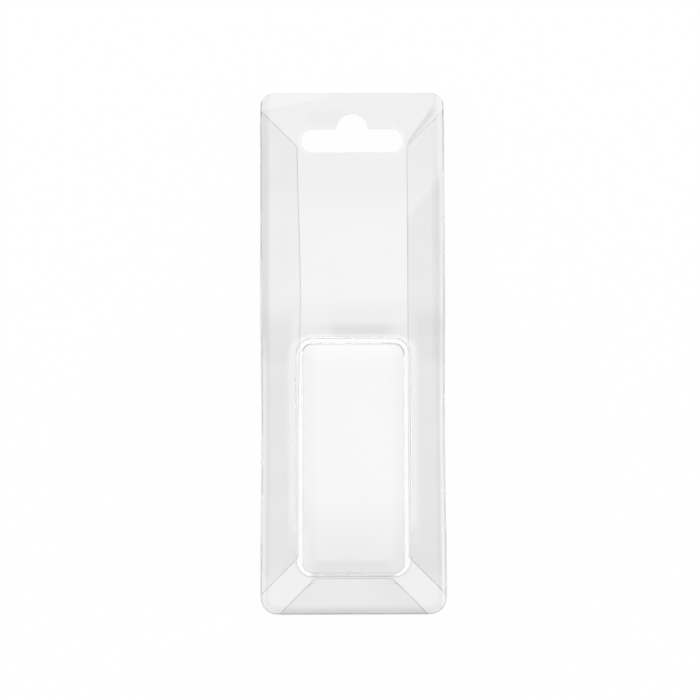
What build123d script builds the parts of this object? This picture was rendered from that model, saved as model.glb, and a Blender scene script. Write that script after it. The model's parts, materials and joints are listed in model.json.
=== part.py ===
"""Slide blister tray: one clear plastic sheet, thermoformed, cut and folded.

The tray lies on its folded back with the pocket up. X runs across the tray, Y runs up it towards
the hang slot, and Z runs from the folded back to the front of the pocket. The origin is under the
middle of the tray, on the plane that the three folded flanges rest on. All sizes are millimetres.
"""

import os
from math import cos, radians, sin, tan

from build123d import *

# Sheet and outline
SHEET = 0.35  # thickness of the clear sheet
TRAY_WIDTH = 58.5  # over both side folds
TRAY_LENGTH = 163.5  # from the cut top edge to the bottom fold
TOP_CORNER = 4.5  # plan radius of the two cut corners at the top
BOTTOM_CORNER = 5.6  # plan radius of the two unfolded corners at the bottom

# Folded edges: a soft shoulder that tightens into a roll, a tuck under it, and a flat flange
SHOULDER_RADIUS = 5.5  # front of the sheet, where it starts to turn down
SHOULDER_TURN = 30.0  # degrees that the shoulder turns
ROLL_RADIUS = 1.8  # front of the sheet, from the shoulder until it stands upright
ROLL_CORNER_TURN = 28.0  # degrees of the roll that carry on round the unfolded corners
TUCK_RADIUS = 0.85  # outside of the sheet, from upright to the flange
SIDE_FLANGE_WIDTH = 12.0  # from the outer edge to the flange's inner edge
BOTTOM_FLANGE_WIDTH = 11.6
MITRE_ANGLE = 45.0  # degrees between a flange's cut end and its fold
FLANGE_CORNER = 1.4  # plan radius at the ends of a flange's inner edge

# Product pocket
POCKET_WIDTH = 35.9  # at the face, before the edges are rounded
POCKET_LENGTH = 74.4
POCKET_HEIGHT = 13.0  # how far the pocket's front stands out of the face
POCKET_BOTTOM_MARGIN = 11.85  # from the bottom fold to the pocket
POCKET_DRAFT = 10.0  # degrees that the walls lean in
POCKET_CORNER = 5.6  # plan radius of the pocket's corners at the face
POCKET_FOOT_RADIUS = 0.8  # hollow round between face and wall, on the front
POCKET_BROW_RADIUS = 0.9  # round between wall and front, on the outside

# Hang slot
SLOT_LENGTH = 32.0
SLOT_BAR = 7.3  # height of the slot's straight bar
SLOT_DROP = 15.1  # from the top edge to the middle of the bar
SLOT_HUMP_RADIUS = 4.8  # round hump on top of the bar, where the peg sits
SLOT_FLARE = 0.8  # round between hump and bar

# Cutting: how far a cutting shape reaches past what it cuts, and how far outside the sheet's edge
# the arc of a cut top corner runs out
TRIM = 1.0
CORNER_RUNOUT = 0.15

# Section of a fold: how far in from the outer edge, and how high, the roll begins and where a
# corner's edge ends it, and what the shoulder adds to both
turn_sin = sin(radians(SHOULDER_TURN))
turn_cos = cos(radians(SHOULDER_TURN))
corner_turn = SHOULDER_TURN + ROLL_CORNER_TURN
corner_sin = sin(radians(corner_turn))
corner_cos = cos(radians(corner_turn))
roll_inset = ROLL_RADIUS * (1 - turn_sin)
roll_top = TUCK_RADIUS + ROLL_RADIUS * turn_cos
corner_inset = ROLL_RADIUS * (1 - corner_sin)
corner_height = TUCK_RADIUS + ROLL_RADIUS * corner_cos
shoulder_reach = SHOULDER_RADIUS * turn_sin
shoulder_drop = SHOULDER_RADIUS * (1 - turn_cos)

# Levels, and places in plan
face_top = roll_top + shoulder_drop
face_under = face_top - SHEET
half_width = TRAY_WIDTH / 2
half_length = TRAY_LENGTH / 2
flat_half_width = half_width - roll_inset - shoulder_reach
flat_bottom = -half_length + roll_inset + shoulder_reach
flat_corner = BOTTOM_CORNER - roll_inset - shoulder_reach
flat_outline = [
    (-flat_half_width, half_length),
    (-flat_half_width, flat_bottom),
    (flat_half_width, flat_bottom),
    (flat_half_width, half_length),
]
pocket_y = -half_length + POCKET_BOTTOM_MARGIN + POCKET_LENGTH / 2
pocket_front = face_top + POCKET_HEIGHT
slot_y = half_length - SLOT_DROP
slot_bar_top = slot_y + SLOT_BAR / 2

# How much smaller the pocket's hollow is than its outside, level with the back of the face
wall_inset = SHEET * (1 - sin(radians(POCKET_DRAFT))) / cos(radians(POCKET_DRAFT))


def folded_flange(edge, run_start, run_end, width):
    """Rest of the roll, tuck and flat flange of one folded edge.

    The edge plane has its origin on the tray's outer edge, level with the back. Its x axis points
    out of the tray and its y axis along the fold, which runs from run_start to run_end.
    """
    section = Plane(origin=edge.origin, x_dir=edge.x_dir, z_dir=-edge.y_dir)
    mitre = 1 / tan(radians(MITRE_ANGLE))
    with BuildPart() as flange:
        with BuildSketch(section):
            with BuildLine():
                roll_from = (-corner_inset, corner_height)
                roll = JernArc(roll_from, (corner_cos, -corner_sin), ROLL_RADIUS, corner_turn - 90)
                tuck = JernArc(roll @ 1, roll % 1, TUCK_RADIUS, -90)
                Line(tuck @ 1, (-width - TRIM, 0))
                offset(amount=SHEET, side=Side.RIGHT)
            make_face()
        extrude(amount=TRAY_LENGTH, both=True)
        with BuildSketch(edge):
            with BuildLine():
                Polyline(
                    (TRIM, run_start - TRIM * mitre),
                    (-width, run_start + width * mitre),
                    (-width, run_end - width * mitre),
                    (TRIM, run_end + TRIM * mitre),
                    close=True,
                )
            outline = make_face()
            fillet(outline.vertices().group_by(Axis.X)[0], FLANGE_CORNER)
        extrude(amount=face_top, mode=Mode.INTERSECT)
    return flange.part


# Flanges of the right side and the bottom. The left side mirrors the right.
right_edge = Plane(origin=(half_width, 0, 0), x_dir=(1, 0, 0), z_dir=(0, 0, 1))
bottom_edge = Plane(origin=(0, -half_length, 0), x_dir=(0, -1, 0), z_dir=(0, 0, 1))
side_run_start = -half_length + BOTTOM_CORNER
side_run_end = half_length - TOP_CORNER
bottom_run = half_width - BOTTOM_CORNER
side_flange = folded_flange(right_edge, side_run_start, side_run_end, SIDE_FLANGE_WIDTH)
bottom_flange = folded_flange(bottom_edge, -bottom_run, bottom_run, BOTTOM_FLANGE_WIDTH)

# Hollow of the pocket, one sheet thickness inside its walls and front
with BuildPart() as pocket_hollow:
    with BuildSketch(Plane.XY.offset(face_under)):
        with Locations((0, pocket_y)):
            RectangleRounded(
                POCKET_WIDTH - 2 * wall_inset,
                POCKET_LENGTH - 2 * wall_inset,
                POCKET_CORNER - wall_inset,
            )
    extrude(amount=POCKET_HEIGHT, taper=POCKET_DRAFT)
    fillet(pocket_hollow.edges().group_by(Axis.Z)[-1], POCKET_BROW_RADIUS - SHEET)

with BuildPart() as blister_tray:
    # Flat face, between the lines where the shoulders begin
    with BuildSketch(Plane.XY.offset(face_under)):
        with BuildLine():
            FilletPolyline(*flat_outline, radius=flat_corner)
            Line(flat_outline[-1], flat_outline[0])
        make_face()
    extrude(amount=SHEET)

    # Shoulder and start of the roll, down one side, round the bottom corners and up the other side
    with BuildLine(Plane.XY.offset(face_top)) as shoulder_path:
        FilletPolyline(*flat_outline, radius=flat_corner)
    shoulder_start = Plane(origin=shoulder_path.line @ 0, x_dir=(-1, 0, 0), z_dir=(0, 1, 0))
    with BuildSketch(shoulder_start):
        with BuildLine():
            shoulder = JernArc((0, 0), (1, 0), SHOULDER_RADIUS, -SHOULDER_TURN)
            JernArc(shoulder @ 1, shoulder % 1, ROLL_RADIUS, -ROLL_CORNER_TURN)
            offset(amount=SHEET, side=Side.RIGHT)
        make_face()
    sweep(path=shoulder_path.line)

    # Cut corners at the top edge
    cut_x = half_width - corner_inset + CORNER_RUNOUT
    cut_y = half_length
    with BuildSketch(Plane.XY):
        with BuildLine():
            RadiusArc((cut_x - TOP_CORNER, cut_y), (cut_x, cut_y - TOP_CORNER), TOP_CORNER)
            Polyline(
                (cut_x, cut_y - TOP_CORNER),
                (cut_x + TRIM, cut_y - TOP_CORNER),
                (cut_x + TRIM, cut_y + TRIM),
                (cut_x - TOP_CORNER, cut_y + TRIM),
                (cut_x - TOP_CORNER, cut_y),
            )
        corner_waste = make_face()
        mirror(corner_waste, about=Plane.YZ)
    extrude(amount=face_top, mode=Mode.SUBTRACT)

    # Product pocket: a drafted block on the face, rounded at its foot and its brow
    with BuildSketch(Plane.XY.offset(face_top)):
        with Locations((0, pocket_y)):
            RectangleRounded(POCKET_WIDTH, POCKET_LENGTH, POCKET_CORNER)
    extrude(amount=POCKET_HEIGHT, taper=POCKET_DRAFT)
    pocket_edges = blister_tray.edges(Select.LAST)
    foot_edges = pocket_edges.filter_by_position(Axis.Z, face_top, face_top)
    brow_edges = pocket_edges.filter_by_position(Axis.Z, pocket_front, pocket_front)
    fillet(foot_edges, POCKET_FOOT_RADIUS)
    fillet(brow_edges, POCKET_BROW_RADIUS)

    # The hollow opens at the back of the face with a soft mouth
    add(pocket_hollow.part, mode=Mode.SUBTRACT)
    mouth_edges = blister_tray.edges(Select.LAST).filter_by_position(Axis.Z, face_under, face_under)
    fillet(mouth_edges, POCKET_FOOT_RADIUS + SHEET)

    # Hang slot through the face: a round-ended bar with a hump for the peg
    with BuildSketch(Plane.XY.offset(face_top)) as hang_slot:
        with Locations((0, slot_y)):
            SlotOverall(SLOT_LENGTH, SLOT_BAR)
        with Locations((0, slot_bar_top)):
            Circle(SLOT_HUMP_RADIUS)
        bar_top_points = hang_slot.vertices().filter_by_position(Axis.Y, slot_bar_top, slot_bar_top)
        hump_ends = bar_top_points.sort_by(Axis.X)[1:-1]
        fillet(hump_ends, SLOT_FLARE)
    extrude(amount=-face_top, mode=Mode.SUBTRACT)

    # Rest of the folds, with the flanges behind the face
    add(side_flange)
    mirror(side_flange, about=Plane.YZ)
    add(bottom_flange)

os.makedirs("parts", exist_ok=True)
blister_tray.part.label = "blister_tray"
export_step(blister_tray.part, "parts/blister_tray.step")
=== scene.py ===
# %% [markdown]
# # A clear slide blister tray
# The tray is one thin sheet of clear plastic. A mould gave it a pocket for the product and a soft
# shoulder round its face, a die cut its outline and hang slot, and a folding bar turned three
# edges back, so that a printed card can slide in behind the face.
# Here the sheet is modelled as that one surface, given its thickness, and lit as clear film on a
# white table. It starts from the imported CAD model, which fixes where everything is.

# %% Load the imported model
import json
from math import atan2, cos, pi, radians, sin, sqrt, tan

import bmesh
import bpy
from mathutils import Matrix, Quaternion, Vector
from mathutils.kdtree import KDTree

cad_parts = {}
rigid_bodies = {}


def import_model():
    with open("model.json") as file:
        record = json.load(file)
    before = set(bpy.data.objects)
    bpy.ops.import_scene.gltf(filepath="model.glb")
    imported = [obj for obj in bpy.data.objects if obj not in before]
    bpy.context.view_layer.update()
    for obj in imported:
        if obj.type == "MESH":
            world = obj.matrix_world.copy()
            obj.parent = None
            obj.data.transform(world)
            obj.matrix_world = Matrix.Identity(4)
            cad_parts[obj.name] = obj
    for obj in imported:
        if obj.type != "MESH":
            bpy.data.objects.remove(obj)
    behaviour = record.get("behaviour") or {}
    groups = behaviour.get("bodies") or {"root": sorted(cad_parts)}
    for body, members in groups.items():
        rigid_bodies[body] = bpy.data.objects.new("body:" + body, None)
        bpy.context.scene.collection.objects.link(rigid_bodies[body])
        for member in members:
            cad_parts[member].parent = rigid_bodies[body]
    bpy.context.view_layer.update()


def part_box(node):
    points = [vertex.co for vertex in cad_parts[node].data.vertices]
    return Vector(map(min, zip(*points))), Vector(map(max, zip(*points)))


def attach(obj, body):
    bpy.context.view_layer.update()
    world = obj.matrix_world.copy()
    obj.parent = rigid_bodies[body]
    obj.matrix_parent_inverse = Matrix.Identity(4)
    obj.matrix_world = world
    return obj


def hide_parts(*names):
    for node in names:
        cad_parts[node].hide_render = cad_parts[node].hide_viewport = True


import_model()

# %% [markdown]
# ## Sizes
# Blender works in metres, and the CAD model's box gives the overall sizes. The other sizes are
# those of the CAD model, repeated here as named values, and the rest follows from them.
# Every level is that of the sheet's outer side, the one that touched the air in the mould.

# %% Sizes of the sheet and its folds
MM = 0.001
low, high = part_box("blister_tray")
half_width = (high.x - low.x) / 2
half_length = (high.y - low.y) / 2
pocket_front = high.z

SHEET = 0.35 * MM
TOP_CORNER = 4.5 * MM
CORNER_RUNOUT = 0.15 * MM
BOTTOM_CORNER = 5.6 * MM
SHOULDER_RADIUS = 5.5 * MM
SHOULDER_TURN = radians(30)
ROLL_RADIUS = 1.8 * MM
ROLL_CORNER_TURN = radians(28)
TUCK_RADIUS = 0.85 * MM
SIDE_FLANGE = 12.0 * MM
BOTTOM_FLANGE = 11.6 * MM
FLANGE_CORNER = 1.4 * MM

corner_turn = SHOULDER_TURN + ROLL_CORNER_TURN
roll_inset = ROLL_RADIUS * (1 - sin(SHOULDER_TURN))
corner_inset = ROLL_RADIUS * (1 - sin(corner_turn))
corner_height = TUCK_RADIUS + ROLL_RADIUS * cos(corner_turn)
shoulder_reach = SHOULDER_RADIUS * sin(SHOULDER_TURN)
shoulder_drop = SHOULDER_RADIUS * (1 - cos(SHOULDER_TURN))
face_top = TUCK_RADIUS + ROLL_RADIUS * cos(SHOULDER_TURN) + shoulder_drop
print("face stands", round(face_top / MM, 3), "mm over the table")

# %% Sizes of the pocket and the hang slot
POCKET_WIDTH = 35.9 * MM
POCKET_LENGTH = 74.4 * MM
POCKET_MARGIN = 11.85 * MM
POCKET_DRAFT = radians(10)
POCKET_CORNER = 5.6 * MM
POCKET_FOOT = 0.8 * MM
POCKET_BROW = 0.9 * MM

SLOT_LENGTH = 32.0 * MM
SLOT_BAR = 7.3 * MM
SLOT_DROP = 15.1 * MM
SLOT_HUMP = 4.8 * MM
SLOT_FLARE = 0.8 * MM

pocket_y = -half_length + POCKET_MARGIN + POCKET_LENGTH / 2
slot_y = half_length - SLOT_DROP
print("pocket middle at y", round(pocket_y / MM, 2), "mm, slot at y", round(slot_y / MM, 2), "mm")

# %% [markdown]
# ## Drawing with points
# A formed sheet has the same section all the way round, so it could be lofted from curves. Drawing
# the section with single points and sweeping it by hand is simpler to follow: a point that is
# spun leaves an arc, one that is extruded leaves a straight line, and the same two moves then
# carry the whole arc round the tray. With no window, spin counts a clockwise turn as positive,
# so the helper changes the sign.

# %% Helpers that start, turn and pull
ACROSS = Vector((1, 0, 0))
ALONG = Vector((0, 1, 0))
UP = Vector((0, 0, 1))


def begin_piece(name, place):
    """A new object of one point, left in edit mode."""
    bpy.ops.object.select_all(action="DESELECT")
    bpy.ops.mesh.primitive_plane_add(size=MM, location=place)
    piece = bpy.context.object
    piece.name = piece.data.name = name
    bpy.ops.object.transform_apply(location=True, rotation=True, scale=True)
    bpy.ops.object.mode_set(mode="EDIT")
    bpy.ops.mesh.select_all(action="SELECT")
    bpy.ops.mesh.merge(type="CENTER")
    return piece


def start_point(place):
    """One more point in the piece that is being edited, selected by itself."""
    bpy.ops.mesh.select_mode(type="VERT")
    bpy.ops.mesh.select_all(action="DESELECT")
    bpy.ops.mesh.primitive_plane_add(size=MM, location=place)
    bpy.ops.mesh.merge(type="CENTER")


def turn(angle, centre, axis, steps):
    """Sweeps the selection round an axis, anticlockwise as seen from the axis tip."""
    bpy.ops.mesh.spin(steps=steps, angle=-angle, center=centre, axis=axis)


def pull(x=0.0, y=0.0, z=0.0):
    """Sweeps the selection along a straight line."""
    bpy.ops.mesh.extrude_region_move(TRANSFORM_OT_translate={"value": (x, y, z)})


print("sweeps go across", ACROSS[:], "along", ALONG[:], "and up", UP[:])

# %% Helper that selects by place
CLOSE = 0.001 * MM


def near(value, target):
    return abs(value - target) < CLOSE


def anywhere(point):
    return True


def pick(kind, test):
    """Selects the points, edges or faces whose every corner passes a test, and counts them."""
    piece = bpy.context.object
    bpy.ops.mesh.select_mode(type=kind)
    bpy.ops.mesh.select_all(action="DESELECT")
    mesh = bmesh.from_edit_mesh(piece.data)
    if kind == "VERT":
        found = [vert for vert in mesh.verts if test(vert.co)]
    else:
        items = mesh.edges if kind == "EDGE" else mesh.faces
        found = [item for item in items if all(test(vert.co) for vert in item.verts)]
    for item in found:
        item.select_set(True)
    mesh.select_flush_mode()
    bmesh.update_edit_mesh(piece.data)
    return len(found)


print("places count as the same within", round(CLOSE / MM, 4), "mm")

# %% [markdown]
# ## Pocket
# The product sits in a deep drawn pocket. Its wall leans in so that the tray leaves the mould, the
# foot rounds into the face and the brow rounds into the front. A bevelled box would do, but its
# bevels would pinch at the corners. So the wall's section is drawn at one place, foot to brow,
# and swept round the four corners back to where it began.

# %% Draw the section of the pocket's wall
FOOT_STEPS = 10
BROW_STEPS = 10
WALL_STEPS = 5
wall_turn = pi / 2 - POCKET_DRAFT
foot_tangent = POCKET_FOOT * tan(wall_turn / 2)
brow_tangent = POCKET_BROW * tan(wall_turn / 2)
pocket_height = pocket_front - face_top
wall_length = pocket_height / cos(POCKET_DRAFT) - foot_tangent - brow_tangent
foot_x = POCKET_WIDTH / 2 + foot_tangent
brow_x = POCKET_WIDTH / 2 - pocket_height * tan(POCKET_DRAFT) - brow_tangent
corner_x = POCKET_WIDTH / 2 - POCKET_CORNER
corner_up = pocket_y + POCKET_LENGTH / 2 - POCKET_CORNER
corner_down = pocket_y - POCKET_LENGTH / 2 + POCKET_CORNER

tray = begin_piece("clear_tray", (foot_x, corner_down, face_top))
turn(wall_turn, (foot_x, 0, face_top + POCKET_FOOT), ALONG, FOOT_STEPS)
for step in range(WALL_STEPS):
    rise = wall_length / WALL_STEPS
    pull(x=-rise * sin(POCKET_DRAFT), z=rise * cos(POCKET_DRAFT))
turn(-wall_turn, (brow_x, 0, pocket_front - POCKET_BROW), ALONG, BROW_STEPS)
print("wall section", pick("VERT", anywhere), "points")

# %% Sweep the section round the pocket and close its front
POCKET_CORNER_STEPS = 12
bpy.ops.mesh.select_all(action="SELECT")
pull(y=corner_up - corner_down)
turn(pi / 2, (corner_x, corner_up, 0), UP, POCKET_CORNER_STEPS)
pull(x=-2 * corner_x)
turn(pi / 2, (-corner_x, corner_up, 0), UP, POCKET_CORNER_STEPS)
pull(y=corner_down - corner_up)
turn(pi / 2, (-corner_x, corner_down, 0), UP, POCKET_CORNER_STEPS)
pull(x=2 * corner_x)
turn(pi / 2, (corner_x, corner_down, 0), UP, POCKET_CORNER_STEPS)
bpy.ops.mesh.select_all(action="SELECT")
bpy.ops.mesh.remove_doubles(threshold=CLOSE)
print("front edge", pick("EDGE", lambda point: near(point.z, pocket_front)), "edges")
bpy.ops.mesh.edge_face_add()

# %% [markdown]
# ## Face with its soft shoulder
# Round the face the sheet eases down before the tight fold. That shoulder runs down one side, round
# both bottom corners and up the other side, so it is the same kind of sweep, on an open path.
# The hang slot is drawn as a loop of points, and one fill then closes the face between the
# shoulder, the slot and the pocket's foot, leaving the two holes open.

# %% Sweep the shoulder
SHOULDER_STEPS = 8
ROLL_STEPS = 6
BOTTOM_CORNER_STEPS = 14
flat_x = half_width - roll_inset - shoulder_reach
flat_bottom = -half_length + roll_inset + shoulder_reach
flat_corner = BOTTOM_CORNER - roll_inset - shoulder_reach
turn_x = flat_x - flat_corner
turn_y = flat_bottom + flat_corner

start_point((flat_x, half_length, face_top))
turn(SHOULDER_TURN, (flat_x, 0, face_top - SHOULDER_RADIUS), ALONG, SHOULDER_STEPS)
turn(ROLL_CORNER_TURN, (half_width - ROLL_RADIUS, 0, TUCK_RADIUS), ALONG, ROLL_STEPS)
bpy.ops.mesh.select_linked()
pull(y=turn_y - half_length)
turn(-pi / 2, (turn_x, turn_y, 0), UP, BOTTOM_CORNER_STEPS)
pull(x=-2 * turn_x)
turn(-pi / 2, (-turn_x, turn_y, 0), UP, BOTTOM_CORNER_STEPS)
pull(y=half_length - turn_y)

top_ends = pick("VERT", lambda point: near(point.y, half_length) and near(point.z, face_top))
bpy.ops.mesh.edge_face_add()
print("top edge joined between", top_ends, "points")

# %% Draw the hang slot
SLOT_END_STEPS = 16
FLARE_STEPS = 6
HUMP_STEPS = 24
bar_half = SLOT_BAR / 2
bar_end = SLOT_LENGTH / 2 - bar_half
bar_top = slot_y + bar_half
flare_x = sqrt((SLOT_HUMP + SLOT_FLARE) ** 2 - SLOT_FLARE**2)
flare_lift = atan2(SLOT_FLARE, flare_x)

start_point((-bar_end, slot_y - bar_half, face_top))
pull(x=2 * bar_end)
turn(pi, (bar_end, slot_y, 0), UP, SLOT_END_STEPS)
pull(x=flare_x - bar_end)
turn(flare_lift - pi / 2, (flare_x, bar_top + SLOT_FLARE, 0), UP, FLARE_STEPS)
turn(pi - 2 * flare_lift, (0, bar_top, 0), UP, HUMP_STEPS)
turn(flare_lift - pi / 2, (-flare_x, bar_top + SLOT_FLARE, 0), UP, FLARE_STEPS)
pull(x=flare_x - bar_end)
turn(pi, (-bar_end, slot_y, 0), UP, SLOT_END_STEPS)
bpy.ops.mesh.select_all(action="SELECT")
bpy.ops.mesh.remove_doubles(threshold=CLOSE)
print("hang slot is", round(2 * (bar_end + bar_half) / MM, 2), "mm wide")

# %% Fill the face
FLAT_ANGLE = radians(0.5)


def on_face(point):
    return near(point.z, face_top)


face_edges = pick("EDGE", on_face)
bpy.ops.mesh.fill(use_beauty=True)
pick("FACE", on_face)
bpy.ops.mesh.dissolve_limited(angle_limit=FLAT_ANGLE)
print("face filled between", face_edges, "edges,", pick("FACE", on_face), "faces")

# %% [markdown]
# ## Cut corners and folded flanges
# The two top corners are cut round by the die, before the sheet is folded. A plane that touches the
# round takes off a sliver, and a dozen of them make the arc, which works on any faces they cross.
# The straight edges then go round the tight bend and run back behind the face as flat flanges.
# Their ends are cut to a mitre so that neighbours don't meet, with small rounds at the tips.

# %% Helpers that trim with a plane and round off a corner
ROUND_STEPS = 12


def trim(place, outward, test=anywhere):
    """Takes away what is on the outward side of a plane, on the faces that pass a test."""
    pick("FACE", test)
    bpy.ops.mesh.bisect(plane_co=place, plane_no=outward, clear_outer=True, threshold=CLOSE / 10)


def round_off(centre, radius, first, last, test=anywhere):
    """Trims a corner to an arc about a centre, from one direction to another, in degrees."""
    for step in range(ROUND_STEPS):
        angle = radians(first + (last - first) * (step + 0.5) / ROUND_STEPS)
        outward = Vector((cos(angle), sin(angle), 0))
        trim(centre + radius * outward, outward, test)


print("a round takes", ROUND_STEPS, "cuts")

# %% Cut the top corners
cut_centre_x = half_width - corner_inset + CORNER_RUNOUT - TOP_CORNER
cut_centre_y = half_length - TOP_CORNER
round_off(Vector((cut_centre_x, cut_centre_y, 0)), TOP_CORNER, 0, 90)
round_off(Vector((-cut_centre_x, cut_centre_y, 0)), TOP_CORNER, 90, 180)
print("top corners cut,", pick("FACE", anywhere), "faces so far")

# %% Fold the side flanges
TUCK_STEPS = 10
FLANGE_STEPS = 5
MITRE = sqrt(0.5)
MITRE_CLEAR = 0.1 * MM
side_run_top = half_length - TOP_CORNER
side_run_bottom = -half_length + BOTTOM_CORNER + MITRE_CLEAR
tip_x = half_width - SIDE_FLANGE + FLANGE_CORNER
tip_reach = half_width - tip_x + FLANGE_CORNER * sqrt(2)


def below_corner(point):
    return point.z < corner_height + CLOSE


for side in (1, -1):
    fold_edge_x = side * (half_width - corner_inset)
    roll_x = side * (half_width - ROLL_RADIUS)
    tuck_x = side * (half_width - TUCK_RADIUS)
    pick("EDGE", lambda point: near(point.x, fold_edge_x) and near(point.z, corner_height))
    turn(side * (pi / 2 - corner_turn), (roll_x, 0, TUCK_RADIUS), ALONG, ROLL_STEPS)
    turn(side * pi / 2, (tuck_x, 0, TUCK_RADIUS), ALONG, TUCK_STEPS)
    for step in range(FLANGE_STEPS):
        pull(x=side * (TUCK_RADIUS - SIDE_FLANGE) / FLANGE_STEPS)

    def on_flange(point):
        return below_corner(point) and side * point.x > 0

    trim((side * half_width, side_run_top, 0), (-side * MITRE, MITRE, 0), on_flange)
    trim((side * half_width, side_run_bottom, 0), (-side * MITRE, -MITRE, 0), on_flange)
    inward = 180 if side > 0 else 0
    upper_tip = Vector((side * tip_x, side_run_top - tip_reach, 0))
    lower_tip = Vector((side * tip_x, side_run_bottom + tip_reach, 0))
    round_off(upper_tip, FLANGE_CORNER, inward, inward - side * 45, on_flange)
    round_off(lower_tip, FLANGE_CORNER, inward, inward + side * 45, on_flange)
    print("side flange with", pick("FACE", on_flange), "faces")

# %% Fold the bottom flange
bottom_run = half_width - BOTTOM_CORNER - MITRE_CLEAR
tip_y = -half_length + BOTTOM_FLANGE - FLANGE_CORNER
tip_run = bottom_run - (tip_y + half_length) - FLANGE_CORNER * sqrt(2)
fold_edge_y = -half_length + corner_inset


def on_bottom_flange(point):
    return below_corner(point) and point.y < -half_length + BOTTOM_FLANGE + CLOSE


pick("EDGE", lambda point: near(point.y, fold_edge_y) and near(point.z, corner_height))
turn(pi / 2 - corner_turn, (0, -half_length + ROLL_RADIUS, TUCK_RADIUS), ACROSS, ROLL_STEPS)
turn(pi / 2, (0, -half_length + TUCK_RADIUS, TUCK_RADIUS), ACROSS, TUCK_STEPS)
for step in range(FLANGE_STEPS):
    pull(y=(BOTTOM_FLANGE - TUCK_RADIUS) / FLANGE_STEPS)
for side in (1, -1):
    trim((side * bottom_run, -half_length, 0), (side * MITRE, MITRE, 0), on_bottom_flange)
    tip = Vector((side * tip_run, tip_y, 0))
    round_off(tip, FLANGE_CORNER, 90, 90 - side * 45, on_bottom_flange)
print("bottom flange with", pick("FACE", on_bottom_flange), "faces")

# %% [markdown]
# ## Even mesh
# A clear sheet shows its shape only by what it bends and mirrors, so large single faces would look
# dead flat. Subdividing would crowd the rounds with points. Planes every few millimetres dice the
# whole surface instead, which gives it points to move. Normals are then made to agree, facing
# out, and each point's place in the formed sheet is kept for the looks.

# %% Dice the sheet
DICE = 2.5 * MM
SLIVER = 0.03 * MM


def dice(axis, reach):
    """Cuts all faces by evenly spaced planes across one axis."""
    count = round(2 * reach / DICE)
    for step in range(1, count):
        place = axis * (-reach + 2 * reach * step / count)
        bpy.ops.mesh.select_all(action="SELECT")
        bpy.ops.mesh.bisect(plane_co=place, plane_no=axis, threshold=CLOSE)


dice(ACROSS, half_width)
dice(ALONG, half_length)
bpy.ops.mesh.select_all(action="SELECT")
bpy.ops.mesh.remove_doubles(threshold=SLIVER)
bpy.ops.mesh.normals_make_consistent(inside=False)
print("sheet diced into", pick("FACE", anywhere), "faces")

# %% Turn the face to the front if needed
bpy.ops.object.mode_set(mode="OBJECT")
face_lift = sum(polygon.normal.z * polygon.area for polygon in tray.data.polygons
                if polygon.center.z > face_top - CLOSE)
print("face normals point", "up" if face_lift > 0 else "down")
if face_lift < 0:
    tray.data.flip_normals()

# %% Keep each point's place in the formed sheet
rest = tray.data.attributes.new("formed_place", "FLOAT_VECTOR", "POINT")
for vertex in tray.data.vertices:
    rest.data[vertex.index].vector = vertex.co
print("kept", len(rest.data), "places")

# %% [markdown]
# ## Film that has been handled
# Clear film is never quite flat: it cools unevenly, the folds pull it in at the waist, and the
# flanges spring up a little behind the face. Sculpting could do this, but it can't be repeated.
# Here each looseness is a Displace modifier along one axis. A vertex group holds it to its place,
# as painted weights would, and a cloud texture breaks up the ones that wander. All of them move
# the sheet inwards, so that the tray keeps its overall size.

# %% Helpers that ease the sheet


def ramp(value, start, end):
    """0 at the start, 1 at the end, with soft ends."""
    share = min(max((value - start) / (end - start), 0), 1)
    return share * share * (3 - 2 * share)


def swell(value, middle, reach):
    """1 in the middle of a stretch, easing to 0 at its reach on both sides."""
    return ramp(abs(value - middle), reach, 0)


def ease(name, axis, amount, weight, grain=0.0):
    """Moves the sheet along an axis, as far as a weight of each point's place lets it."""
    group = tray.vertex_groups.new(name=name)
    for vertex in tray.data.vertices:
        group.add([vertex.index], weight(vertex.co), "REPLACE")
    shift = tray.modifiers.new(name, "DISPLACE")
    shift.direction = axis
    shift.strength = amount
    shift.mid_level = 0
    shift.vertex_group = group.name
    if grain:
        wander = bpy.data.textures.new(name, "CLOUDS")
        wander.noise_scale = grain
        shift.texture = wander
        shift.texture_coords = "LOCAL"
    before = [vertex.co.copy() for vertex in tray.data.vertices]
    bpy.ops.object.modifier_apply(modifier=shift.name)
    tray.vertex_groups.remove(tray.vertex_groups[name])
    moved = max((vertex.co - old).length for vertex, old in zip(tray.data.vertices, before))
    print(name, "moved the sheet by up to", round(moved / MM, 3), "mm")


print("halfway along, a ramp is at", ramp(0.5, 0, 1))

# %% Pull in the waist and bow one flange
WAIST = 0.35 * MM
WAIST_Y = -24.0 * MM
WAIST_REACH = 46.0 * MM
WAIST_FROM = 19.0 * MM
WAIST_TO = 27.0 * MM
BOW = 0.9 * MM
BOW_Y = 19.0 * MM
BOW_REACH = 48.0 * MM
BOW_FULL_X = -10.0 * MM
FLANGE_HIGH = 1.0 * MM
FLANGE_LOW = 0.5 * MM
FOLD_REACH = 2.0 * MM


def flange_part(point):
    """0 at the fold of a side flange, 1 at its inner edge, and 0 on the rest of the sheet."""
    behind = ramp(point.z, FLANGE_HIGH, FLANGE_LOW)
    return behind * ramp(abs(point.x), half_width - FOLD_REACH, half_width - SIDE_FLANGE)


for name, side in (("right_waist", 1), ("left_waist", -1)):
    ease(name, "X", -side * WAIST, lambda point: (
        swell(point.y, WAIST_Y, WAIST_REACH) * ramp(side * point.x, WAIST_FROM, WAIST_TO)))
ease("left_bow", "X", BOW, lambda point: (
    swell(point.y, BOW_Y, BOW_REACH) * flange_part(point) * ramp(point.x, 0, BOW_FULL_X)))

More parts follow.
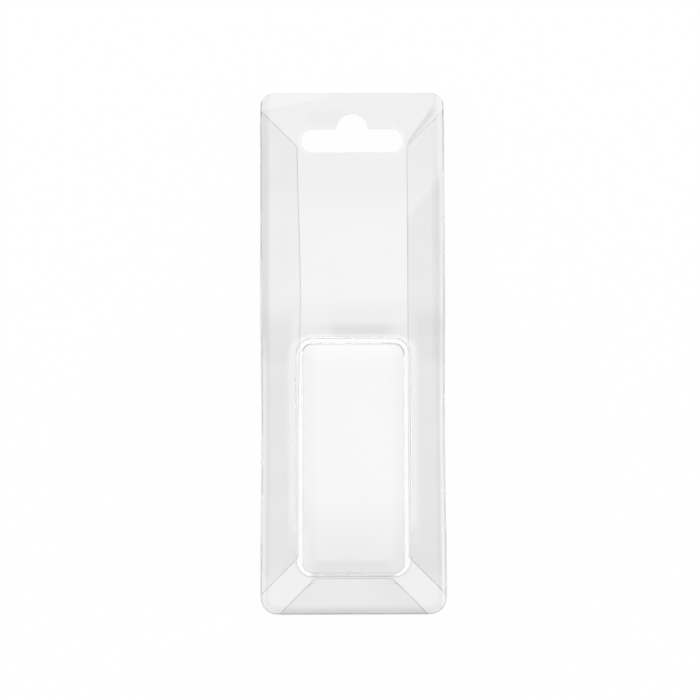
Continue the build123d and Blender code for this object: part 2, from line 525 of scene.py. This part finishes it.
# %% Lift the flanges and ripple the face
FLANGE_LIFT = 0.7 * MM
FACE_SINK = 0.7 * MM
FRONT_DISH = 0.25 * MM
RIPPLE = 34.0 * MM
FACE_REACH = 4.0 * MM
bottom_end = -half_length + 12 * MM
side_start = -half_length + 20 * MM
bottom_fade = -half_length + 16 * MM


def bottom_part(point):
    """0 at the bottom fold, 1 at the inner edge of the bottom flange, and 0 elsewhere."""
    behind = ramp(point.z, FLANGE_HIGH, FLANGE_LOW)
    inside = ramp(abs(point.x), half_width - FOLD_REACH, half_width - SIDE_FLANGE)
    up_flange = ramp(point.y, -half_length + FOLD_REACH, -half_length + BOTTOM_FLANGE)
    return behind * inside * up_flange


ease("side_lift", "Z", FLANGE_LIFT, lambda point: (
    flange_part(point) * ramp(point.y, bottom_end, side_start)), RIPPLE)
ease("bottom_lift", "Z", FLANGE_LIFT, lambda point: (
    bottom_part(point) * ramp(point.y, bottom_fade, bottom_end)), RIPPLE)
ease("face_ripple", "Z", -FACE_SINK, lambda point: (
    ramp(point.z, corner_height, face_top)
    * ramp(point.z, face_top + FACE_REACH, face_top)), RIPPLE)
ease("front_dish", "Z", -FRONT_DISH, lambda point: (
    ramp(point.z, pocket_front - POCKET_BROW, pocket_front)
    * swell(point.x, 0, POCKET_WIDTH / 2) * swell(point.y, pocket_y, POCKET_LENGTH / 2)))

# %% [markdown]
# ## Thickness and cut edges
# Film is thinner where the mould drew it deep. Solidify gives the sheet its thickness on the inner
# side, less of it on the pocket, with a rim along each cut edge. The die leaves those rims a hair
# round. Bevel rounds them with hardened normals, because the flat film beside a cut would else
# be shaded as if it bent, and would turn black. Rims and inner side are marked by attributes,
# since the film looks different there.

# %% Mark where the drawn film is thinner
DRAWN_SHARE = 0.45
DRAW_DEPTH = 4.0 * MM
full_film = tray.vertex_groups.new(name="full_film")
for vertex in tray.data.vertices:
    drawn = min(max((vertex.co.z - face_top) / DRAW_DEPTH, 0), 1)
    full_film.add([vertex.index], 1 - drawn, "REPLACE")
print("pocket film is", round(DRAWN_SHARE * SHEET / MM, 3), "mm thick")

# %% Give the sheet its thickness
wall = tray.modifiers.new("sheet thickness", "SOLIDIFY")
wall.thickness = SHEET
wall.offset = -1
wall.use_even_offset = True
wall.use_quality_normals = True
wall.vertex_group = full_film.name
wall.thickness_vertex_group = DRAWN_SHARE
wall.rim_vertex_group = tray.vertex_groups.new(name="rim_points").name
outer_count = len(tray.data.vertices)
bpy.ops.object.modifier_apply(modifier=wall.name)
inner_count = len(tray.data.vertices) - outer_count
print("sheet has", outer_count, "points outside and", inner_count, "inside")

# %% Mark the sheet's inner side, and keep the places of its rims
inner_side = tray.data.attributes.new("inner_side", "FLOAT", "POINT")
for vertex in tray.data.vertices:
    inner_side.data[vertex.index].value = float(vertex.index >= outer_count)
rim_group = tray.vertex_groups["rim_points"].index
rims = KDTree(len(tray.data.vertices))
for vertex in tray.data.vertices:
    if rim_group in [entry.group for entry in vertex.groups]:
        rims.insert(vertex.co, vertex.index)
rims.balance()
bpy.ops.object.vertex_group_remove(all=True)
print("groups left on the sheet:", len(tray.vertex_groups))

# %% Round the cut edges
EDGE_ROUND = 0.12 * MM
EDGE_STEPS = 3
CUT_ANGLE = radians(60)
SMOOTH_ANGLE = radians(35)
cut = tray.modifiers.new("cut edges", "BEVEL")
cut.width = EDGE_ROUND
cut.segments = EDGE_STEPS
cut.limit_method = "ANGLE"
cut.angle_limit = CUT_ANGLE
cut.use_clamp_overlap = False
cut.harden_normals = True
bpy.ops.object.shade_smooth()
bpy.ops.object.modifier_apply(modifier=cut.name)
bpy.ops.object.shade_smooth_by_angle(angle=SMOOTH_ANGLE)
print("tray has", len(tray.data.vertices), "points and", len(tray.data.polygons), "faces")

# %% Mark the cut rims
RIM_REACH = 0.2 * MM
cut_rim = tray.data.attributes.new("cut_rim", "FLOAT", "POINT")
for vertex in tray.data.vertices:
    cut_rim.data[vertex.index].value = float(rims.find(vertex.co)[2] < RIM_REACH)
print("cut rims have", int(sum(point.value for point in cut_rim.data)), "points")

# %% [markdown]
# ## Sums on sockets
# A shader is a net of nodes, and a sum of many masks would need dozens of Math nodes set by hand.
# A small class holds a socket and lets Python's own signs add those nodes, so that a mask reads
# like the sum it is. A second class adds any other node from its kind, settings and sockets.

# %% Small language for shader sums


class Value:
    """A number on a socket. Sums on it add Math nodes."""

    def __init__(self, board, socket):
        self.board = board
        self.socket = socket

    def math(self, operation, first, second=0.0):
        return self.board.add("ShaderNodeMath", {"operation": operation}, {0: first, 1: second})

    def __add__(self, other):
        return self.math("ADD", self, other)

    def __radd__(self, other):
        return self.math("ADD", other, self)

    def __sub__(self, other):
        return self.math("SUBTRACT", self, other)

    def __rsub__(self, other):
        return self.math("SUBTRACT", other, self)

    def __mul__(self, other):
        return self.math("MULTIPLY", self, other)

    def __rmul__(self, other):
        return self.math("MULTIPLY", other, self)

    def __pow__(self, other):
        return self.math("POWER", self, other)

    def __abs__(self):
        return self.math("ABSOLUTE", self)

    def part(self, name):
        """Another output of the same node."""
        return Value(self.board, self.socket.node.outputs[name])


class Board:
    """A node tree, with one method that adds any node."""

    def __init__(self, tree):
        self.tree = tree
        tree.nodes.clear()

    def add(self, kind, settings=None, sockets=None, out=0):
        node = self.tree.nodes.new(kind)
        for name, value in (settings or {}).items():
            setattr(node, name, value)
        for name, value in (sockets or {}).items():
            if isinstance(value, Value):
                self.tree.links.new(value.socket, node.inputs[name])
            else:
                node.inputs[name].default_value = value
        return Value(self, node.outputs[out]) if node.outputs else node


film = bpy.data.materials.new("clear_film")
film.use_nodes = True
board = Board(film.node_tree)
print("empty board for", film.name)

# %% [markdown]
# ## Where a point of the film is
# The film's tint has faint grey streaks and patches: painted shade, painted reflections and painted
# highlights, and some that are only lighter or darker. A picture texture would blur close up, so
# each streak is a soft mask of a point's place. The masks read the place that was kept before the
# film was handled, so they stay on the folds as those bend.
# Their ends are places in millimetres from the tray's middle, x across and y along.

# %% Helpers for masks
SMOOTH = {"interpolation_type": "SMOOTHSTEP"}


def fade(value, start, end):
    """0 at the start and 1 at the end, with soft ends."""
    ends = {"Value": value, "From Min": start, "From Max": end}
    return board.add("ShaderNodeMapRange", SMOOTH, ends)


def band(value, middle, core, reach):
    """1 within the core about a middle, easing to 0 at the reach."""
    return fade(abs(value - middle), reach, core)


def larger(first, second):
    return board.add("ShaderNodeMath", {"operation": "MAXIMUM"}, {0: first, 1: second})


def smaller(first, second):
    return board.add("ShaderNodeMath", {"operation": "MINIMUM"}, {0: first, 1: second})


def past_round(across, along, radius):
    """How far a point is outside a rounded bar, from how far it is past the bar's straight runs."""
    return (across * across + along * along) ** 0.5 - radius


print("masks ready")

# %% Places on the film
place = board.add("ShaderNodeTexCoord", out="Object")
formed = board.add("ShaderNodeAttribute", {"attribute_name": "formed_place"}, out="Vector")
x = board.add("ShaderNodeSeparateXYZ", sockets={0: formed})
y = x.part("Y")
z = x.part("Z")
right = fade(x, 0, 15 * MM)
from_pocket = past_round(
    larger(abs(x) - corner_x, 0),
    larger(abs(y - pocket_y) - (POCKET_LENGTH / 2 - POCKET_CORNER), 0),
    POCKET_CORNER,
)
from_slot = past_round(larger(abs(x) - bar_end, 0), y - slot_y, bar_half)
print("film has", len(film.node_tree.nodes), "nodes that tell where a point is")

# %% [markdown]
# ## Tint of the face
# A tint here is the share of light that one crossing of the film leaves. A band over the pocket is
# greyer, a painted dark reflection. It is lighter in a patch of the upper half and at the slot's
# ends. A painted reflection lightens the top left edge, painted light lightens the film beside the
# pocket's foot, and a painted dark reflection of the right flange's mitre runs into the top right
# corner. An even tint would look like a pane of glass.

# %% How grey the face is
FACE_TONE = 0.907
LIGHT_PATCH = 0.030
# Painted reflection: the top left corner of the face is lighter.
CORNER_REFLECTION = 0.045
# Painted dark reflection of the right flange's mitre: a fuzzy dark line into the top right corner.
MITRE_REFLECTION_DARK = 0.14
MITRE_REFLECTION_FOOT = (17.4 * MM, 65.7 * MM)
MITRE_REFLECTION_SLOPE = (0.79, -0.6135)
light_patch = fade(y, 56 * MM, 42 * MM) * fade(y, 12 * MM, 20 * MM)
corner_reflection = fade(y - 0.17 * x, 80.7 * MM, 81.9 * MM) * fade(x, -4 * MM, -14 * MM)
up_mitre_reflection = x - MITRE_REFLECTION_FOOT[0]
off_mitre_reflection = abs(MITRE_REFLECTION_SLOPE[0] * up_mitre_reflection + MITRE_REFLECTION_SLOPE[1] * (y - MITRE_REFLECTION_FOOT[1]))
mitre_reflection = fade(off_mitre_reflection, 0.13 * up_mitre_reflection + 0.7 * MM, 0.2 * MM)
mitre_reflection = mitre_reflection * fade(x, 17 * MM, 18 * MM) * fade(x, 26.5 * MM, 24.5 * MM)
face_tone = FACE_TONE + LIGHT_PATCH * light_patch + CORNER_REFLECTION * corner_reflection
face_tone = face_tone - MITRE_REFLECTION_DARK * mitre_reflection
print("face leaves", FACE_TONE, "of the light")

# %% Painted dark reflection band, slot and painted light by the pocket's foot
# Painted dark reflection: a greyer band across the face just above the pocket.
BAND_REFLECTION_DARK = 0.13
BAND_REFLECTION_Y = 6.65 * MM
# Painted light: the film beside the pocket's foot is lighter, standing in for light the pocket
# bends onto the table.
PAINTED_FOOT_LIGHT = 0.085
SLOT_LIGHT = 0.03
SLOT_DARK = 0.025
band_reflection = 0.8 * band(y, BAND_REFLECTION_Y, 0.6 * MM, 3.6 * MM) + 0.2 * band(y, BAND_REFLECTION_Y, 3 * MM, 11 * MM)
band_reflection = band_reflection * (1 - 0.6 * fade(abs(x - 2.5 * MM), 6.5 * MM, 12 * MM))
band_reflection = band_reflection * (1 - 0.85 * fade(abs(x), 15 * MM, 18 * MM))
beside = fade(from_pocket, 3.4 * MM, 1.0 * MM) * fade(y, 5.5 * MM, 2.5 * MM)
foot_light = larger(beside, fade(from_pocket, 1.7 * MM, 0.8 * MM)) * fade(y, -64 * MM, -48 * MM)
slot_end = fade(from_slot, 1.7 * MM, 0.3 * MM) * fade(abs(x), 11 * MM, 13 * MM)
over_slot = band(y, 74 * MM, 1 * MM, 3.5 * MM) * band(x, -8 * MM, 4 * MM, 9 * MM)
face_tone = face_tone - BAND_REFLECTION_DARK * band_reflection + PAINTED_FOOT_LIGHT * foot_light
face_tone = face_tone + SLOT_LIGHT * slot_end - SLOT_DARK * over_slot
# Prints where the painted dark reflection band lies.
print("chilled band at y", round(BAND_REFLECTION_Y / MM, 2), "mm")

# %% [markdown]
# ## Tint of the flanges
# A flange lies behind the face, so its tint counts on top of the face's. The lower halves are
# greyer, and the right one has a painted highlight on its upper end past a slanting line. Along the
# cut edges a narrow dark mask that follows the flanges' outlines paints the shade the cut edge
# shows, which a bump could not show from the front. Beside the pocket the shine of the wall hides
# it.

# %% How grey the flanges are
FLANGE_TONE = 0.98
FLANGE_DARK = 0.06
# Painted dark reflection: the band over the pocket carries on across the flanges.
FLANGE_BAND_REFLECTION = 0.055
RIGHT_DARK = 0.05
# Painted highlight on the right flange's upper end, past a slanting line.
RIGHT_HIGHLIGHT = 0.075
RIGHT_LOW = 0.03
BOTTOM_LIGHT = 0.05
highlit_end = fade(y - 1.2 * (x - 20 * MM), 43 * MM, 51 * MM)
low_down = fade(y, -48 * MM, -58 * MM)
highlit_right_rim = fade(x + 0.8 * MM * highlit_end, 27.0 * MM, 28.0 * MM)
flange_tone = (
    FLANGE_TONE
    - FLANGE_DARK * fade(y, 12 * MM, -12 * MM)
    - FLANGE_BAND_REFLECTION * band(y, 4.5 * MM, 4 * MM, 10 * MM) * fade(abs(x), 18.5 * MM, 21.5 * MM)
    - RIGHT_DARK * right * fade(y, 2 * MM, 12 * MM) * (1 - highlit_end)
    + RIGHT_HIGHLIGHT * right * highlit_end
    - RIGHT_LOW * right * low_down * (1 - highlit_right_rim)
    + BOTTOM_LIGHT * fade(y, -68 * MM, -72 * MM)
)
print("flanges leave", FLANGE_TONE, "of the light")

# %% Painted shade along the flanges' cut edges
# Painted shade: a narrow dark line along the flanges' cut edges.
CUT_EDGE_SHADE = 0.18
CUT_WIDTH = 0.5 * MM
in_from_fold = half_width - abs(x)
up_from_fold = y + half_length
side_cut = smaller(
    SIDE_FLANGE - in_from_fold,
    MITRE * smaller(side_run_top - in_from_fold - y, y - side_run_bottom - in_from_fold),
)
bottom_cut = smaller(BOTTOM_FLANGE - up_from_fold, MITRE * (bottom_run - up_from_fold - abs(x)))
cut_edge_shade = fade(larger(side_cut, bottom_cut), CUT_WIDTH, 0.3 * CUT_WIDTH)
faint = 0.5 * fade(y, 35 * MM, 14 * MM) + 0.45 * fade(y, 5 * MM, 1 * MM)
cut_edge_shade = cut_edge_shade * (1 - faint * fade(y, -64 * MM, -61 * MM))
flange_tone = flange_tone - CUT_EDGE_SHADE * cut_edge_shade
# Prints the width of the painted shade along the cut edges.
print("dull line", round(CUT_WIDTH / MM, 2), "mm wide")

# %% [markdown]
# ## Tint of the pocket
# The drawn film of the pocket is thinner, and so clearer. Painted light makes its front lighter at
# the top, and painted shade makes it greyer towards its lower end, with one painted dark band
# there. The upper brow is tight enough to turn light aside, so a painted dark line follows it,
# strongest round the two corners. A wider mask would spill down the wall, so only the brow's own
# height is picked.

# %% How grey the pocket is
POCKET_TONE = 0.957
# Painted light and shade: the pocket's front is lighter at its top and greyer towards its lower
# end.
POCKET_PAINTED_LIGHT = 0.04
POCKET_SIDE = 0.035
POCKET_PAINTED_SHADE = 0.10
CORNER_LIGHT = 0.05
# Painted shade: a dark band near the lower end of the pocket's front.
LOW_BAND_SHADE = 0.065
BAND_Y = -65.4 * MM
ARC_DARK = 0.35
low_band_shade = band(y, BAND_Y, 0.8 * MM, 2.6 * MM) * fade(abs(x), 14 * MM, 9 * MM)
brow_depth = pocket_front - z
on_brow = fade(brow_depth, 0.55 * MM, 0.42 * MM) * fade(brow_depth, 0.05 * MM, 0.14 * MM)
brow_arc = on_brow * fade(y + 1.6 * MM * right, corner_up + 0.4 * MM, corner_up + 1.4 * MM)
brow_arc = brow_arc * (0.55 + 0.45 * fade(abs(x), 7 * MM, 11 * MM))
pocket_tone = (
    POCKET_TONE
    + POCKET_PAINTED_LIGHT * fade(y, -6 * MM, 2 * MM)
    - POCKET_SIDE * fade(abs(x), 10 * MM, 14.5 * MM)
    - POCKET_PAINTED_SHADE * fade(y, -40 * MM, -68 * MM)
    - LOW_BAND_SHADE * low_band_shade
    + CORNER_LIGHT * fade(x, -12 * MM, -15 * MM) * fade(y, -52 * MM, -59 * MM)
    - ARC_DARK * brow_arc
)
print("pocket leaves", POCKET_TONE, "of the light")

# %% [markdown]
# ## Tint of the folds, and all of it
# The folds are seen through two or three layers, so a small change of tint tells. Painted shade
# darkens the left fold and the bottom one, and a band of the right one beside its outer rim.
# Painted highlights lighten the lower left rim and the right rim, the right one most at its upper
# end and lower half. The tints are then laid over each other by height, because the sheet's layers
# differ in height alone, and a faint cloud breaks up what is still even.

# %% How grey the folds are
# Painted shade: the left fold, the bottom fold and a band of the right fold are darker.
LEFT_FOLD_SHADE = 0.035
# Painted highlights on the outer rims of the left and right folds.
LEFT_RIM_HIGHLIGHT = 0.06
RIGHT_BAND_SHADE = 0.027
RIGHT_RIM_HIGHLIGHT = 0.055
RIGHT_RIM_TOP_HIGHLIGHT = 0.03
RIGHT_RIM_LOW_HIGHLIGHT = 0.04
BOTTOM_FOLD_SHADE = 0.065
left_fold_shade = fade(x, -25.2 * MM, -27.2 * MM) * fade(y, -10 * MM, 20 * MM)
left_fold_shade = left_fold_shade * (1 - 0.5 * fade(y, 62 * MM, 72 * MM))
left_rim_highlight = fade(x, -26.9 * MM, -27.9 * MM) * fade(y, 12 * MM, -6 * MM)
right_band_shade = band(x, 26.0 * MM, 0.5 * MM, 1.5 * MM) * fade(y, -14 * MM, 6 * MM)
right_low = fade(y, 4 * MM, -24 * MM)
bottom_fold_shade = fade(y, -79.2 * MM, -80.4 * MM) * fade(abs(x), 26 * MM, 23 * MM)
fold_tone = (
    LEFT_RIM_HIGHLIGHT * left_rim_highlight
    - LEFT_FOLD_SHADE * left_fold_shade
    - RIGHT_BAND_SHADE * right_band_shade * (1 - 0.5 * highlit_end)
    + highlit_right_rim * (RIGHT_RIM_HIGHLIGHT + RIGHT_RIM_TOP_HIGHLIGHT * highlit_end + RIGHT_RIM_LOW_HIGHLIGHT * right_low)
    - BOTTOM_FOLD_SHADE * bottom_fold_shade * (1 - 0.25 * right)
)
print("folds differ from the face by up to", round(RIGHT_RIM_HIGHLIGHT + RIGHT_RIM_TOP_HIGHLIGHT, 3))

# %% Tint of the whole film
CLOUD = 0.03
CLOUDS_PER_METRE = 45.0
GREYEST = 0.6
GREYEST_TINT = (GREYEST, GREYEST, GREYEST + 0.01, 1)
CLEAREST_TINT = (0.995, 0.994, 1, 1)


def clouds(scale, detail):
    """Soft random patches, by their number per metre."""
    wanted = {"Vector": place, "Scale": scale, "Detail": detail}
    return board.add("ShaderNodeTexNoise", sockets=wanted)


pocket_share = fade(z, face_top + 0.3 * MM, face_top + 2 * MM)
flange_share = fade(z, 2.0 * MM, 1.4 * MM)
tone = face_tone + pocket_share * (pocket_tone - face_tone)
tone = tone + flange_share * (flange_tone - tone)
tone = tone + fold_tone + CLOUD * (clouds(CLOUDS_PER_METRE, 2.0) - 0.5)
tint = board.add(
    "ShaderNodeMix",
    {"data_type": "RGBA"},
    {
        "Factor": (tone - GREYEST) * (1 / (1 - GREYEST)),
        6: GREYEST_TINT,
        7: CLEAREST_TINT,
    },
    out=2,
)
print("tint of the film made with", len(film.node_tree.nodes), "nodes")

# %% [markdown]
# ## Film seen edge-on
# Where the film stands upright, a straight look runs along it for many times its thickness, and
# ideal film would trap that light and turn black. Real film scatters a little and bends, so its
# upright walls stay clear. Alpha lets most of the light straight on there. It goes by how steep
# the film is and by Layer Weight, sooner on the tight folds and on the sheet's inner side.

# %% How much of the film is seen
EDGE_ON_CLEAR = 0.985
LOWER_WALL_SEEN = 0.6
FOLD_SOONER = 0.16
INNER_SOONER = 0.22
STEEP = (0.66, 0.42)
EDGE_ON = (0.34, 0.58)
leaning = board.add("ShaderNodeSeparateXYZ", sockets={0: place.part("Normal")}, out="Z")
edge_on = board.add("ShaderNodeLayerWeight", sockets={"Blend": 0.5}, out="Facing")
inner = board.add("ShaderNodeAttribute", {"attribute_name": "inner_side"}, out="Fac")
rolled = larger(fade(abs(x), 25 * MM, 26 * MM), fade(y, -77 * MM, -78 * MM))
sooner = larger(FOLD_SOONER * rolled, INNER_SOONER * inner)
steep = fade(abs(leaning) - sooner, *STEEP)
lower_wall = fade(y, -63 * MM, -67 * MM) * fade(abs(x), 14 * MM, 11.5 * MM) * (1 - rolled)
clear_wall = EDGE_ON_CLEAR * (1 - LOWER_WALL_SEEN * lower_wall) * (1 - brow_arc)
clearness = 1 - clear_wall * steep * fade(edge_on + sooner, *EDGE_ON)
print("upright film lets", EDGE_ON_CLEAR, "straight on")

# %% [markdown]
# ## Gloss, and the shader
# Film straight from the mould is glossy. Handling leaves faint scuffs, and a bend is stretched and
# a little matt. Slow waves in the face break its reflections. One Principled shader carries all of
# it, with full transmission and the refraction of clear polyester. The die shears the cut rims
# matt and pale, so a second, plain shader takes over on them.

# %% Gloss of the film
FACE_ROUGH = 0.02
SCUFF_ROUGH = 0.05
BEND_ROUGH = 0.08
SCUFFS_PER_METRE = 160.0
SCUFF_SPREAD = (0.5, 0.75)
BEND_LEAN = (0.98, 0.85)
WAVE_HEIGHT = 0.06 * MM
WAVES_PER_METRE = 110.0
scuffs = fade(clouds(SCUFFS_PER_METRE, 3.0), *SCUFF_SPREAD)
bends = fade(abs(leaning), *BEND_LEAN)
roughness = FACE_ROUGH + SCUFF_ROUGH * scuffs + BEND_ROUGH * bends
surge = {"Height": clouds(WAVES_PER_METRE, 1.0), "Distance": WAVE_HEIGHT}
waves = board.add("ShaderNodeBump", sockets=surge)
print("film is rough by", FACE_ROUGH, "to", round(FACE_ROUGH + SCUFF_ROUGH + BEND_ROUGH, 2))

# %% Film shader
FILM_IOR = 1.54
clear = board.add(
    "ShaderNodeBsdfPrincipled",
    sockets={
        "Base Color": tint,
        "Roughness": roughness,
        "IOR": FILM_IOR,
        "Transmission Weight": 1.0,
        "Alpha": clearness,
        "Normal": waves,
    },
)
print("film refracts by", FILM_IOR)

# %% Shader of the cut rims, and both together
RIM_MATT = 0.9
RIM_GREY = 0.86
RIM_ROUGH = 0.6
RIM_FADE = (0.955, 0.99)
RIM_LEAN = (0.98, 0.9)
sheared = board.add(
    "ShaderNodeBsdfPrincipled",
    sockets={"Base Color": (RIM_GREY, RIM_GREY, RIM_GREY, 1), "Roughness": RIM_ROUGH},
)
rim = board.add("ShaderNodeAttribute", {"attribute_name": "cut_rim"}, out="Fac")
matt = RIM_MATT * fade(rim, *RIM_FADE) * fade(abs(leaning), *RIM_LEAN)
surface = board.add("ShaderNodeMixShader", sockets={0: matt, 1: clear, 2: sheared})
board.add("ShaderNodeOutputMaterial", sockets={"Surface": surface})
tray.data.materials.append(film)
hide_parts("blister_tray")
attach(tray, "root")
print("tray wears", film.name, "of", len(film.node_tree.nodes), "nodes")

# %% [markdown]
# ## White table and soft light
# Clear packs are shot on a white table, with soft boxes low round the tray. A bright ceiling greys
# the face a little, a dark ring round it gives the folds their dark lines, and a bright horizon
# gives them their light ones. A plain white world would wash the film out. The boxes are mirrored
# in the film but not seen through it, which keeps sparks out of its bends. The table shines white
# to the camera and through the film, and a small share of it is paper that keeps the tray's
# shadow. Matt things get an even fill, so that a grey card beside the tray comes out as it is.

# %% Floor
FLOOR_GAP = 0.3 * MM
FLOOR_SIZE = 6.0
GLOW_SHARE = 0.97
PAPER_WHITE = 0.9
bpy.ops.object.select_all(action="DESELECT")
bpy.ops.mesh.primitive_plane_add(size=FLOOR_SIZE, location=(0, 0, -FLOOR_GAP))
floor = bpy.context.object
floor.name = "white_table"
bpy.ops.object.transform_apply(location=True, rotation=True, scale=True)
paper = bpy.data.materials.new("white_table")
paper.use_nodes = True
board = Board(paper.node_tree)
seen = board.add("ShaderNodeLightPath", out="Is Camera Ray")
seen = smaller(seen + seen.part("Is Glossy Ray") + seen.part("Is Transmission Ray"), 1.0)
lit = board.add(
    "ShaderNodeBsdfDiffuse",
    sockets={"Color": (PAPER_WHITE, PAPER_WHITE, PAPER_WHITE, 1)},
)
glow = board.add("ShaderNodeEmission", sockets={"Color": (1, 1, 1, 1), "Strength": 1.0})
mixed = board.add("ShaderNodeMixShader", sockets={0: seen * GLOW_SHARE, 1: lit, 2: glow})
board.add("ShaderNodeOutputMaterial", sockets={"Surface": mixed})
floor.data.materials.append(paper)
print("table", round(FLOOR_GAP / MM, 2), "mm under the tray")

# %% Soft boxes
BOX_SIZE = 0.38
BOX_DISTANCE = 0.75
BOX_LEAN = radians(78)
BOX_RADIANCE = 4.5


def soft_box(name, side):
    """A square lamp that leans over the tray from one side."""
    away = side * sin(BOX_LEAN) + UP * cos(BOX_LEAN)
    bpy.ops.object.light_add(type="AREA", location=away * BOX_DISTANCE)
    lamp = bpy.context.object
    lamp.name = name
    lamp.rotation_euler = away.to_track_quat("Z", "Y").to_euler()
    lamp.data.size = BOX_SIZE
    lamp.data.energy = BOX_RADIANCE * pi * BOX_SIZE**2
    lamp.visible_transmission = False
    print(name, "of", round(lamp.data.energy, 2), "watts")


soft_box("left_box", -ACROSS)
soft_box("right_box", ACROSS)
soft_box("top_box", ALONG)

# %% World
CEILING_LIGHT = 0.9
CEILING_REACH = radians(40)
ROOM_LIGHT = 0.03
HORIZON = (radians(58), radians(72))
FILL_LIGHT = 0.82
world = bpy.data.worlds.new("studio")
bpy.context.scene.world = world
world.use_nodes = True
board = Board(world.node_tree)
direction = board.add("ShaderNodeTexCoord", out="Generated")
height = board.add("ShaderNodeSeparateXYZ", sockets={0: direction}, out="Z")
from_top = board.add("ShaderNodeMath", {"operation": "ARCCOSINE"}, {0: height})
ceiling = CEILING_LIGHT + (ROOM_LIGHT - CEILING_LIGHT) * fade(from_top, 0.0, CEILING_REACH)
studio = ceiling + fade(from_top, *HORIZON)
off_the_table = board.add("ShaderNodeLightPath", out="Diffuse Depth")
strength = board.add(
    "ShaderNodeMix",
    {"data_type": "FLOAT", "clamp_factor": True},
    {"Factor": off_the_table, "A": studio, "B": FILL_LIGHT},
)
sky = board.add("ShaderNodeBackground", sockets={"Color": (1, 1, 1, 1), "Strength": strength})
board.add("ShaderNodeOutputWorld", sockets={"Surface": sky})
bpy.context.scene.view_settings.view_transform = "Standard"
print("fill light", FILL_LIGHT)

# %% How often light may bounce
light_paths = bpy.context.scene.cycles
light_paths.max_bounces = 32
light_paths.glossy_bounces = 16
light_paths.transmission_bounces = 28
print("light may bounce", light_paths.max_bounces, "times")

# %% [markdown]
# ## Camera
# The photograph looks almost straight down on the tray, from a little below its middle. The camera
# stands half a metre away, tilted and rolled by that little, and its lens is worked out from the
# width of the table that the picture shows.

# %% Camera
VIEW_DISTANCE = 0.5
VIEW_TILT = radians(2.8)
VIEW_ROLL = radians(-0.2)
VIEW_WIDTH = 218.6 * MM
SENSOR = 36.0
aim = Vector((-0.9 * MM, 0.72 * MM, face_top))
away = UP * cos(VIEW_TILT) - ALONG * sin(VIEW_TILT)
bpy.ops.object.camera_add(location=aim + away * VIEW_DISTANCE)
camera = bpy.context.object
camera.name = "photo_camera"
camera.data.sensor_width = SENSOR
camera.data.lens = SENSOR * VIEW_DISTANCE / VIEW_WIDTH
camera.rotation_mode = "QUATERNION"
facing = (-away).to_track_quat("-Z", "Y")
camera.rotation_quaternion = facing @ Quaternion((0, 0, 1), VIEW_ROLL)
bpy.context.scene.camera = camera
print("lens", round(camera.data.lens, 2), "mm")
